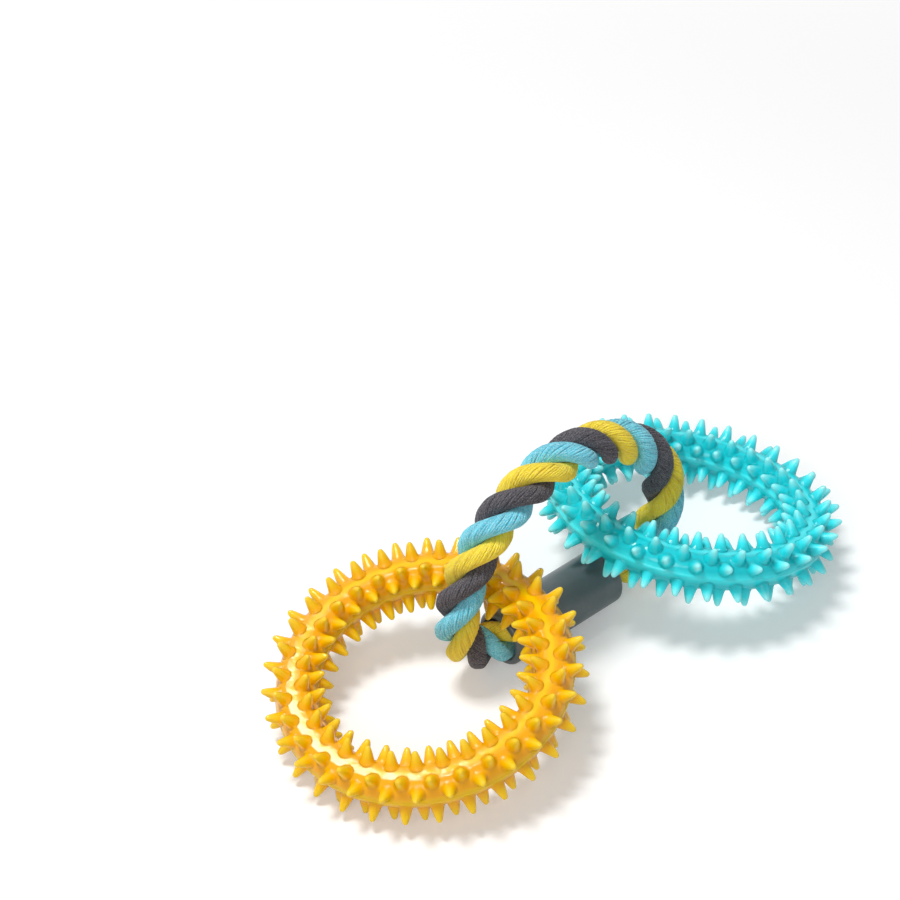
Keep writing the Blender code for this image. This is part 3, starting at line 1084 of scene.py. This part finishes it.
@dataclass
class SpikedRing:
    """A moulded ring with eight staggered rows of spikes and a fine parting ridge.

    Its tube's centre at the seat is its own origin, its middle lies along its own +X and
    its axis is its own Z. The ridge's stops, foot and flank are shares of its half width,
    and the rows' angles, the hollows' width and their slope are in degrees round the tube.
    Along the rows the tube's rise is low, so it gets the painted shade of the spikes'
    hollows, and between them the rise lifts it towards the body's colour.
    """

    body: Body
    slot: str
    finish: ChewRubber
    seat: Triple
    roll: float
    dip: float
    heading: float
    spike_phase: float
    seed: int
    middle_radius: float = 46 * MM
    tube_radius: float = 7.4 * MM
    spike_reach: float = 13.4 * MM
    size_spread: float = 0.02
    ridge_height: float = 0.28 * MM
    ridge_half_width: float = 0.55 * MM
    ridge_stops: tuple[float, ...] = (0.0, 0.55, 0.85, 1.15, 1.6)
    ridge_foot: float = 1.15
    ridge_flank: float = 0.3
    crest_half_angle: float = math.radians(20)
    crest_edge: float = math.radians(1.2)
    crest_crown: float = 0.05 * MM
    side_points: int = 9
    crest_points: int = 7
    steps: int = 240
    row_angles: tuple[float, ...] = (31.5, 62.5, 117.5, 148.5)
    # Half width and slope, in degrees, of the painted shade along each row, and the rise between
    # rows
    row_hollow: float = 12.0
    row_slope: float = 10.0
    row_rise: float = 0.45
    spikes_per_row: int = 30
    first_spike: float = 0.25

    def pose(self) -> Matrix:
        """Gives where the ring lies on the rope and the floor."""
        turned = Euler((self.roll, self.dip, self.heading)).to_matrix().to_4x4()
        return Matrix.Translation(self.seat) @ turned

    def section_turns(self) -> np.ndarray:
        """Lists the angles of the tube's section points.

        Returns:
            The angles once round, closer at ridges and crest edges.
        """
        near = np.array(self.ridge_stops) * (self.ridge_half_width / self.tube_radius)
        edge = math.pi / 2 - self.crest_half_angle
        side = np.linspace(near[-1], edge - self.crest_edge, self.side_points)[1:]
        half = np.concatenate((near, side, (edge, edge + self.crest_edge)))
        middle = np.linspace(half[-1], math.pi - half[-1], self.crest_points)[1:-1]
        upper = np.concatenate((half, middle, math.pi - half[::-1]))
        return np.concatenate((upper, -upper[-2:0:-1]))

    def tube(self) -> Object:
        """Makes the smooth tube, with its parting ridges and its flattened crests.

        Returns:
            The tube, with its rise stored on it.
        """
        turns = self.section_turns()
        from_ridge = np.minimum(np.abs(turns), math.pi - np.abs(turns)) * self.tube_radius
        edge = np.clip((self.ridge_foot * self.ridge_half_width - from_ridge)
                       / (self.ridge_flank * self.ridge_half_width), 0.0, 1.0)
        from_crest = np.minimum(np.abs(np.abs(turns) - math.pi / 2), self.crest_half_angle)
        flat = math.cos(self.crest_half_angle) / np.cos(from_crest)
        crown = self.crest_crown * (1 - (from_crest / self.crest_half_angle) ** 2)
        radius = self.tube_radius * flat + crown + self.ridge_height * edge
        around = np.linspace(0.0, math.tau, self.steps, endpoint=False)[:, None]
        out = self.middle_radius + radius * np.cos(turns)
        rings = np.stack((out * np.cos(around), out * np.sin(around),
                          np.repeat((radius * np.sin(turns))[None], self.steps, axis=0)), axis=-1)
        mesh = swept(rings + (self.middle_radius, 0.0, 0.0), True)
        # Painted shade: the rise is low along the rows of spikes and lifts between them
        degrees = np.degrees(np.abs(turns))
        from_row = np.min(np.abs(degrees[:, None] - np.array(self.row_angles)), axis=1)
        rise = np.clip((from_row - self.row_hollow) / self.row_slope, 0.0, 1.0) * self.row_rise
        set_layer(mesh, Layer.RISE, np.tile(rise, self.steps))
        return link("tube", mesh)

    def seats(self) -> Mesh:
        """Marks where each spike stands on the tube's centre line, and which way.

        Returns:
            A mesh of one point for each spike.
        """
        points, outward = [], []
        pitch = math.tau / self.spikes_per_row
        for side in (1, -1):
            for row, degrees in enumerate(self.row_angles):
                lean = side * math.radians(degrees)
                shift = (row + (side < 0)) % 2 / 2
                for step in range(self.spikes_per_row):
                    turn = (step + shift + self.first_spike + self.spike_phase / 2) * pitch
                    level = np.array((math.cos(turn), math.sin(turn), 0.0))
                    points.append((1 + level[0], level[1], 0.0))
                    outward.append(level * math.cos(lean) + (0.0, 0.0, math.sin(lean)))
        mesh = bpy.data.meshes.new("seats")
        mesh.from_pydata((np.array(points) * self.middle_radius).tolist(), [], [])
        set_layer(mesh, Layer.OUTWARD, np.array(outward))
        return mesh

    def tree(self) -> NodeBuild:
        """Builds the tree that stands a spike on each seat, square to the tube.

        Returns:
            The tree.
        """
        build = NodeBuild(self.body.value + "_spikes")
        build.takes(Spike="Object", Tube="Object", Ring_Radius="Float", Size_Spread="Float",
                    Seed="Int", Material="Material")
        tree, start = build.tree, build.start
        outward = add(tree, "GeometryNodeInputNamedAttribute", {"Name": Layer.OUTWARD.value},
                      data_type="FLOAT_VECTOR")
        middle = add(tree, "ShaderNodeCombineXYZ", {"X": start.outputs["Ring Radius"]})
        spoke = add(tree, "ShaderNodeVectorMath", {
            0: add(tree, "GeometryNodeInputPosition"), 1: middle}, operation="SUBTRACT")
        along = add(tree, "ShaderNodeVectorMath", {0: (0.0, 0.0, 1.0), 1: spoke},
                    operation="CROSS_PRODUCT")
        standing = add(tree, "FunctionNodeAxesToRotation", {
            "Primary Axis": outward, "Secondary Axis": along},
            primary_axis="Z", secondary_axis="X")
        least = add(tree, "ShaderNodeMath", {0: 1.0, 1: start.outputs["Size Spread"]},
                    operation="SUBTRACT")
        size = add(tree, "FunctionNodeRandomValue", {
            2: least, 3: 1.0, "Seed": start.outputs["Seed"]}, data_type="FLOAT")
        spike = add(tree, "GeometryNodeObjectInfo", {"Object": start.outputs["Spike"]})
        build.end(add(tree, "GeometryNodeInstanceOnPoints", {
            "Points": start, "Instance": spike.outputs["Geometry"],
            "Rotation": standing, "Scale": size.outputs[1]}), "Tube")
        return build

    def build(self) -> Object:
        """Makes the ring where it lies.

        Returns:
            The ring.
        """
        node = self.body.value
        made = self.tree().bake(node + "_rubber", self.seats(), {
            "Spike": Spike(self.spike_reach, self.tube_radius).build(), "Tube": self.tube(),
            "Ring Radius": self.middle_radius, "Size Spread": self.size_spread,
            "Seed": self.seed, "Material": self.finish.material()})
        made.data.transform(self.pose())
        return hand_over(made, node, self.body)


# Studio


def aimed(name: str, data: Any, place: Triple, aim: Triple) -> Object:
    """Stands a lamp or a camera in the scene, facing a point.

    Args:
        name: The object's name.
        data: The data of the lamp or the camera.
        place: Where it stands.
        aim: The point that it faces.

    Returns:
        The new object.
    """
    made = link(name, data)
    made.location = place
    made.rotation_euler = (Vector(aim) - Vector(place)).to_track_quat("-Z", "Y").to_euler()
    return made


@dataclass
class Softbox:
    """A rectangular studio lamp, aimed at the toy."""

    name: str
    place: Triple
    width: float
    height: float
    power: float
    aim: Triple = (0.0, 0.0, 0.03)

    def build(self) -> Object:
        """Makes the lamp.

        Returns:
            The lamp.
        """
        lamp = bpy.data.lights.new(self.name, "AREA")
        lamp.shape = "RECTANGLE"
        lamp.size, lamp.size_y, lamp.energy = self.width, self.height, self.power
        return aimed(self.name, lamp, self.place, self.aim)


@dataclass
class Studio:
    """A white sweep, soft lamps and the camera."""

    camera_place: Triple = (-0.52052, -0.51972, 0.67810)
    camera_aim: Triple = (0.03706, 0.1032, 0.0)
    lens: float = 106.96
    clip: Pair = (0.05, 50.0)
    floor_half: float = 4.0
    floor_colour: str = "#E8E8E8"
    floor_roughness: float = 0.9
    floor_lift: float = 0.25
    lit_radius: float = 0.3
    unlit_radius: float = 1.2
    paper_white: float = 0.95
    ambient: float = 0.25

    def floor(self) -> None:
        """Lays a sheet of white seamless paper, which keeps the toy's shadow."""
        corners = [(x * self.floor_half, y * self.floor_half, 0.0)
                   for x, y in ((-1, -1), (1, -1), (1, 1), (-1, 1))]
        mesh = bpy.data.meshes.new("floor")
        mesh.from_pydata(corners, [], [(0, 1, 2, 3)])
        made = link("floor", mesh)
        paper = bpy.data.materials.new("white_seamless_paper")
        paper.use_nodes = True
        tree = paper.node_tree
        shader = tree.nodes["Principled BSDF"]
        feed(tree, shader, {"Base Color": linear(self.floor_colour),
                            "Roughness": self.floor_roughness, "Specular IOR Level": 0.0})
        # The lamps light only the middle, so the paper's own white takes over further out
        reach = add(tree, "ShaderNodeVectorMath", {
            0: add(tree, "ShaderNodeTexCoord").outputs["Object"]}, operation="LENGTH")
        lift = add(tree, "ShaderNodeMapRange", {
            "Value": reach.outputs["Value"], "From Min": self.lit_radius,
            "From Max": self.unlit_radius, "To Min": self.floor_lift, "To Max": self.paper_white},
            interpolation_type="SMOOTHERSTEP")
        white = add(tree, "ShaderNodeMath", {0: lift, 1: self.seen(tree, 0.0)},
                    operation="MULTIPLY")
        glow = add(tree, "ShaderNodeEmission", {"Strength": white})
        both = add(tree, "ShaderNodeAddShader", {0: shader, 1: glow})
        feed(tree, tree.nodes["Material Output"], {"Surface": both})
        made.data.materials.append(paper)

    def seen(self, tree: NodeTree, other: float) -> Node:
        """Gives white to the rays that show the backdrop, and less to the rest.

        Args:
            tree: The node tree of the floor or the world.
            other: The strength for all but camera, glossy and transmission rays.

        Returns:
            The node of the strength.
        """
        path = add(tree, "ShaderNodeLightPath")
        every = path.outputs["Is Camera Ray"]
        for ray in ("Is Glossy Ray", "Is Transmission Ray"):
            every = add(tree, "ShaderNodeMath", {0: every, 1: path.outputs[ray]},
                        operation="MAXIMUM")
        return add(tree, "ShaderNodeMapRange", {"Value": every, "To Min": other, "To Max": 1.0})

    def world(self) -> None:
        """Lights the toy evenly from all round and shows white behind it."""
        world = bpy.data.worlds.new("white_studio")
        world.use_nodes = True
        tree = world.node_tree
        feed(tree, tree.nodes["Background"], {
            "Color": (1.0, 1.0, 1.0, 1.0), "Strength": self.seen(tree, self.ambient)})
        bpy.context.scene.world = world

    def camera(self) -> None:
        """Stands the camera where the photograph was taken from."""
        data = bpy.data.cameras.new("camera")
        data.lens = self.lens
        data.clip_start, data.clip_end = self.clip
        bpy.context.scene.camera = aimed("camera", data, self.camera_place, self.camera_aim)

    def build(self) -> None:
        """Makes the floor, the world, the lamps and the camera."""
        self.floor()
        self.world()
        Softbox("top_softbox", (-0.30, 0.27, 1.42), width=0.32, height=0.32, power=14.5).build()
        Softbox("fill_softbox", (-1.3, -0.9, 1.2), width=0.9, height=0.6, power=10.5).build()
        # A bright card behind the toy, which only the glossy rubber shows
        card = Softbox("back_card", (-0.17, 0.79, 1.23), width=0.30, height=0.34, power=9.0)
        card.build().visible_diffuse = False
        self.camera()
        bpy.context.scene.view_settings.view_transform = "Standard"


def report(pieces: list[Object]) -> None:
    """Logs each piece with its triangles.

    Args:
        pieces: The pieces.
    """
    for piece in pieces:
        triangles = sum(len(face.vertices) - 2 for face in piece.data.polygons)
        LOG.info("%s: %d triangles", piece.name, triangles)


def main() -> None:
    """Builds the studio, then the toy from its rope outwards."""
    logging.basicConfig(level=logging.INFO, format="%(name)s: %(message)s")
    Studio().build()
    route = RopeRoute()
    report(Rope(route).build())
    report([
        Whipping("rope_end_whipping_left", -1, route).build(),
        Whipping("rope_end_whipping_right", 1, route).build(),
        GripSleeve(route).build(),
        SpikedRing(Body.AMBER, "amber_rubber", AMBER_RUBBER, seat=(-29.6 * MM, 0.0, 35.2 * MM),
                   roll=math.radians(1.7), dip=math.radians(13.726),
                   heading=math.radians(189.3), spike_phase=-0.4, seed=21).build(),
        SpikedRing(Body.TURQUOISE, "turquoise_rubber", TURQUOISE_RUBBER,
                   seat=(17.2 * MM, 0.0, 35.2 * MM), roll=math.radians(-3.6),
                   dip=math.radians(13.543), heading=math.radians(-5.8),
                   spike_phase=-0.1, seed=22).build(),
    ])


if __name__ == "__main__":
    main()
